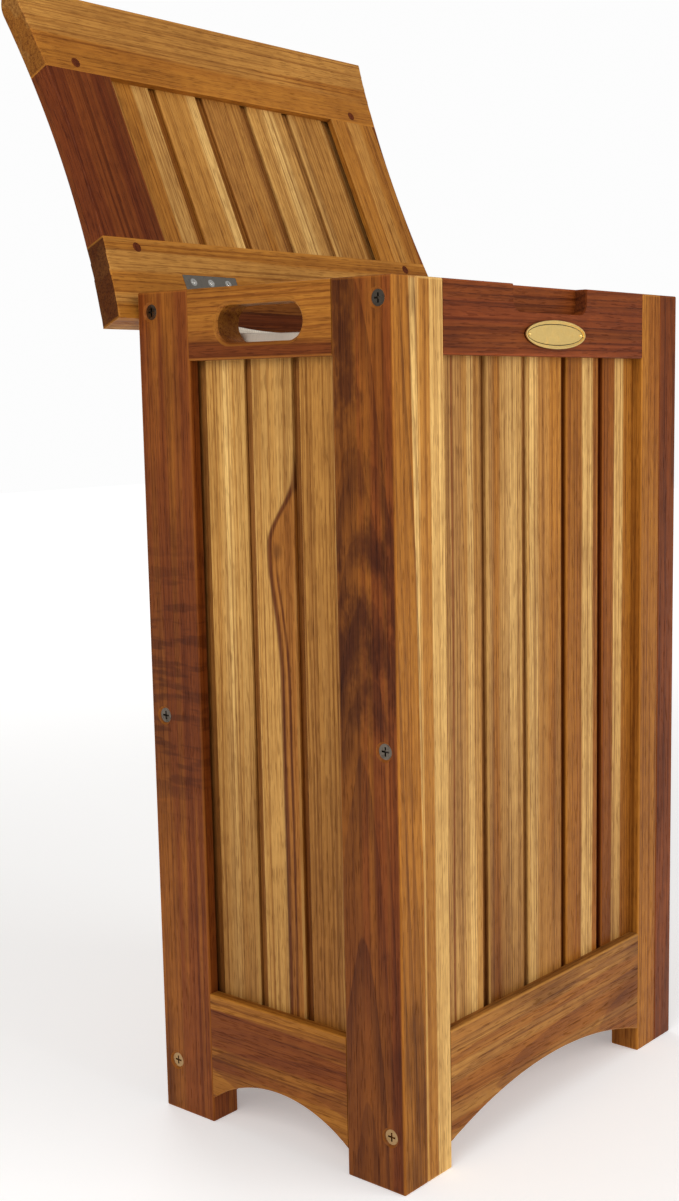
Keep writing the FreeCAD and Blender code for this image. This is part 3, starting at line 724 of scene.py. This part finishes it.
# %% Let the cloth drop and fill
held = bag.vertex_groups.new(name="held")
top = [v.index for v in bag.data.vertices if v.co.z > bag_high.z - row / 2]
loop_hold, mouth_hold, off_middle = 0.012, 0.35, 0.07
by_pegs = [i for i in top if abs(abs(bag.data.vertices[i].co.x) - peg_x) < loop_hold
           and abs(bag.data.vertices[i].co.y - bag_middle.y) > off_middle]
held.add(top, mouth_hold, "REPLACE")
held.add(by_pegs, 1.0, "REPLACE")
before = [v.co.copy() for v in bag.data.vertices]
settle = bag.modifiers.new("settle", "CLOTH")
cloth = settle.settings
cloth.quality = 6
cloth.mass = 0.2
cloth.tension_stiffness = cloth.compression_stiffness = 18
cloth.shear_stiffness = 6
cloth.bending_stiffness = 0.25
cloth.air_damping = 2.0
cloth.vertex_group_mass = "held"
cloth.use_pressure = True
cloth.uniform_pressure_force = 0.25
last_frame = 30
settle.point_cache.frame_start, settle.point_cache.frame_end = 1, last_frame
for frame_number in range(1, last_frame + 1):
    scene.frame_set(frame_number)
bpy.context.view_layer.objects.active = bag
bpy.ops.object.modifier_apply(modifier="settle")
scene.frame_set(1)
moved = [(v.co - start).length for v, start in zip(bag.data.vertices, before)]
print("cloth moved: most", round(max(moved), 4), "mean", round(sum(moved) / len(moved), 4))

# %% Keep it inside the walls
slack = 0.0005
off_the_boards = 0.0008
wall_x = bag_high.x - bag_middle.x + slack
wall_y = bag_high.y - bag_middle.y + slack


def kept_in(value, wall, ease=0.004):
    """Ease a distance towards a wall that it may touch but not pass."""
    reach = abs(value)
    if reach > wall - ease:
        reach = wall - ease * math.exp(-(reach - wall + ease) / ease)
    return math.copysign(reach, value)


for vertex in bag.data.vertices:
    vertex.co.x = bag_middle.x + kept_in(vertex.co.x - bag_middle.x, wall_x)
    vertex.co.y = bag_middle.y + kept_in(vertex.co.y - bag_middle.y, wall_y)
    vertex.co.z = max(vertex.co.z, bag_floor + off_the_boards)

# %% [markdown]
# ## Hem, stitches and loops
# The mouth is turned over and sewn, so the top of the cloth is thicker and has a seam line below it. The
# hem is a copy of the bag's top rows with a wall of its own, and the stitches are one small capsule
# copied along its lower edge. Each loop is a narrow tape that runs up from the hem and over its peg.

# %% Hem
hem_rows = 2
hem_thick, cloth_thick = 0.0030, 0.0011
bag_copy = bag.data.copy()
hem = bpy.data.objects.new("liner_hem", bag_copy)
scene.collection.objects.link(hem)
edit(hem)
first_hem_row = bag_high.z - row * (hem_rows + 0.5)
threads = bag.data.uv_layers["threads"]
uv_height = {}
for loop in bag.data.loops:
    uv_height[loop.vertex_index] = threads.data[loop.index].uv[1]
mesh = bmesh.from_edit_mesh(hem.data)
mesh.verts.ensure_lookup_table()
low_verts = [v for v in mesh.verts if not first_hem_row < uv_height.get(v.index, 0.0)]
bmesh.ops.delete(mesh, geom=low_verts, context="VERTS")
bmesh.update_edit_mesh(hem.data)
close(hem)
seam_height = bag_floor + row * (rows - hem_rows)
seam_points = {}
for loop in bag.data.loops:
    share, height = threads.data[loop.index].uv
    if abs(height - seam_height) < row / 4:
        seam_points[round(share / girth % 1.0, 5)] = bag.data.vertices[loop.vertex_index].co.copy()
seam = [seam_points[share] for share in sorted(seam_points)]
add_modifier(hem, "SOLIDIFY", thickness=hem_thick, offset=0.0)
add_modifier(hem, "SUBSURF", levels=1, render_levels=1)
add_modifier(bag, "SOLIDIFY", thickness=cloth_thick, offset=0.0)
add_modifier(bag, "SUBSURF", levels=1, render_levels=1)
print("hem faces:", len(hem.data.polygons), "bag faces:", len(bag.data.polygons))

# %% Stitches
stitch_pitch, stitch_length, stitch_thick, stitch_proud = 0.0050, 0.0032, 0.0008, 0.0016
bpy.ops.object.select_all(action="DESELECT")
bpy.ops.mesh.primitive_cylinder_add(vertices=6, radius=stitch_thick / 2, depth=stitch_length)
stitch = bpy.context.object
edit(stitch)
pick("faces", lambda co: co.z > stitch_length * 0.4)
bpy.ops.mesh.inset(thickness=stitch_thick * 0.15)
bpy.ops.transform.translate(value=(0.0, 0.0, stitch_thick * 0.3))
pick("faces", lambda co: co.z < stitch_length * -0.4)
bpy.ops.mesh.inset(thickness=stitch_thick * 0.15)
bpy.ops.transform.translate(value=(0.0, 0.0, stitch_thick * -0.3))
bpy.ops.object.mode_set(mode="OBJECT")
one_stitch = stitch.data.copy()
bpy.data.objects.remove(stitch)
sewn = bmesh.new()
walked, due = 0.0, 0.0
for start, end in zip(seam, seam[1:] + seam[:1]):
    step = end - start
    while due < walked + step.length and step.length > 0.0:
        spot = start + step * ((due - walked) / step.length)
        way = step.normalized()
        inside = Vector((bag_middle.x - spot.x, bag_middle.y - spot.y, 0.0))
        inside = (inside - inside.dot(way) * way).normalized()
        spot += inside * stitch_proud
        first = len(sewn.verts)
        sewn.from_mesh(one_stitch)
        sewn.verts.ensure_lookup_table()
        place = Matrix.Translation(spot) @ way.to_track_quat("Z", "Y").to_matrix().to_4x4()
        bmesh.ops.transform(sewn, matrix=place, verts=sewn.verts[first:])
        due += stitch_pitch
    walked += step.length
stitch_mesh = bpy.data.meshes.new("liner_stitches")
sewn.to_mesh(stitch_mesh)
sewn.free()
stitches = bpy.data.objects.new("liner_stitches", stitch_mesh)
scene.collection.objects.link(stitches)
print("seam length:", round(walked, 3), "stitches:", len(stitch_mesh.polygons) // len(one_stitch.polygons))

# %% Loops of tape
tape_width, tape_thick, tape_from_wall, loop_radius, loop_drop = 0.0044, 0.0007, 0.0030, 0.0031, 0.0100
rear_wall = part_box("rear_top_rail")[0].y
front_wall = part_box("front_top_rail")[1].y
bpy.ops.object.select_all(action="DESELECT")
bpy.ops.mesh.primitive_circle_add(vertices=20, radius=loop_radius, rotation=(math.pi / 2, 0.0, 0.0))
first_loop = bpy.context.object
edit(first_loop)
bpy.ops.object.mode_set(mode="OBJECT")
bpy.ops.object.transform_apply(rotation=True)
edit(first_loop)
pick("verts", lambda co: co.z < -loop_radius * 0.05)
bpy.ops.transform.translate(value=(0.0, 0.0, -loop_drop))
bpy.ops.mesh.select_all(action="SELECT")
bpy.ops.transform.translate(value=(0.0, -tape_width / 2, 0.0))
bpy.ops.mesh.extrude_region_move(TRANSFORM_OT_translate={"value": (0.0, tape_width, 0.0)})
bpy.ops.mesh.select_all(action="SELECT")
bpy.ops.mesh.normals_make_consistent(inside=False)
close(first_loop)
add_modifier(first_loop, "SOLIDIFY", thickness=tape_thick, offset=0.0)
add_modifier(first_loop, "SUBSURF", levels=1, render_levels=1)
loops = []
for wall, inward_way in ((rear_wall, -1), (front_wall, 1)):
    for side in (-1, 1):
        tape = bpy.data.objects.new("liner_loop_%d" % (len(loops) + 1), first_loop.data.copy())
        scene.collection.objects.link(tape)
        tape.data.transform(Matrix.Translation((side * peg_x, wall + inward_way * tape_from_wall, peg_z)))
        loops.append(tape)
bpy.data.objects.remove(first_loop)


# %% Canvas
def canvas(name, piece_list, base, shade, thread_width):
    """A plain weave on the cloth's own threads, with slubs and a little soil."""
    finish = Finish(name)
    uv = finish.node("UVMap", {"uv_map": "threads"})
    round_way, up_way, _ = finish.split(uv)
    warp = finish.math("SINE", round_way * (math.tau / thread_width))
    weft = finish.math("SINE", up_way * (math.tau / thread_width))
    over_under = warp * weft
    slub = finish.noise(uv, (900, 60, 1), 2.0, 0.6)
    soil = finish.noise(uv, (14, 14, 1), 3.0, 0.6)
    colour = finish.mix(slub.ramp(0.40, 0.66) * 0.35, base, shade)
    colour = finish.mix(over_under.ramp(0.2, -0.8) * 0.35, colour, tuple(c * 0.72 for c in shade))
    colour = finish.mix(soil.ramp(0.48, 0.72) * 0.22, colour, tuple(c * 0.8 for c in shade))
    weave = over_under + slub * 0.8
    bump = finish.node("Bump", None, {"Height": weave, "Strength": 0.35, "Distance": 0.0004})
    finish.set(Base_Color=colour, Roughness=0.85 + (slub - 0.5) * 0.15, Normal=bump, Sheen_Weight=0.15)
    for piece in piece_list:
        piece.data.materials.clear()
        piece.data.materials.append(finish.material)


def cotton_tape(name, piece_list, base, shade, thread_width):
    """Narrow twill: slanting ribs, a little fluff and soil."""
    finish = Finish(name)
    place = finish.node("TexCoord", None, None, 3)
    slant = finish.dot(place, (1.0, 1.0, 1.0))
    rib = finish.math("SINE", slant * (math.tau / thread_width))
    fluff = finish.noise(place, (700, 700, 700), 3.0, 0.6)
    colour = finish.mix(rib.ramp(0.3, -0.9) * 0.5, base, shade)
    colour = finish.mix(fluff.ramp(0.45, 0.7) * 0.3, colour, tuple(c * 0.8 for c in shade))
    bump = finish.node("Bump", None, {"Height": rib + fluff, "Strength": 0.3, "Distance": 0.0002})
    finish.set(Base_Color=colour, Roughness=0.82 + (fluff - 0.5) * 0.2, Normal=bump, Sheen_Weight=0.1)
    for piece in piece_list:
        piece.data.materials.append(finish.material)


canvas("cotton_canvas", [bag, hem], (0.84, 0.75, 0.62), (0.68, 0.57, 0.45), 0.0014)
cotton_tape("cotton_tape", loops, (0.70, 0.61, 0.50), (0.50, 0.41, 0.32), 0.0009)
cotton_tape("sewing_thread", [stitches], (0.66, 0.56, 0.44), (0.42, 0.33, 0.25), 0.0006)
for piece in [bag, hem, stitches] + loops:
    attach(piece, "hamper_body")
    for polygon in piece.data.polygons:
        polygon.use_smooth = True
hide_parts("liner_bag")
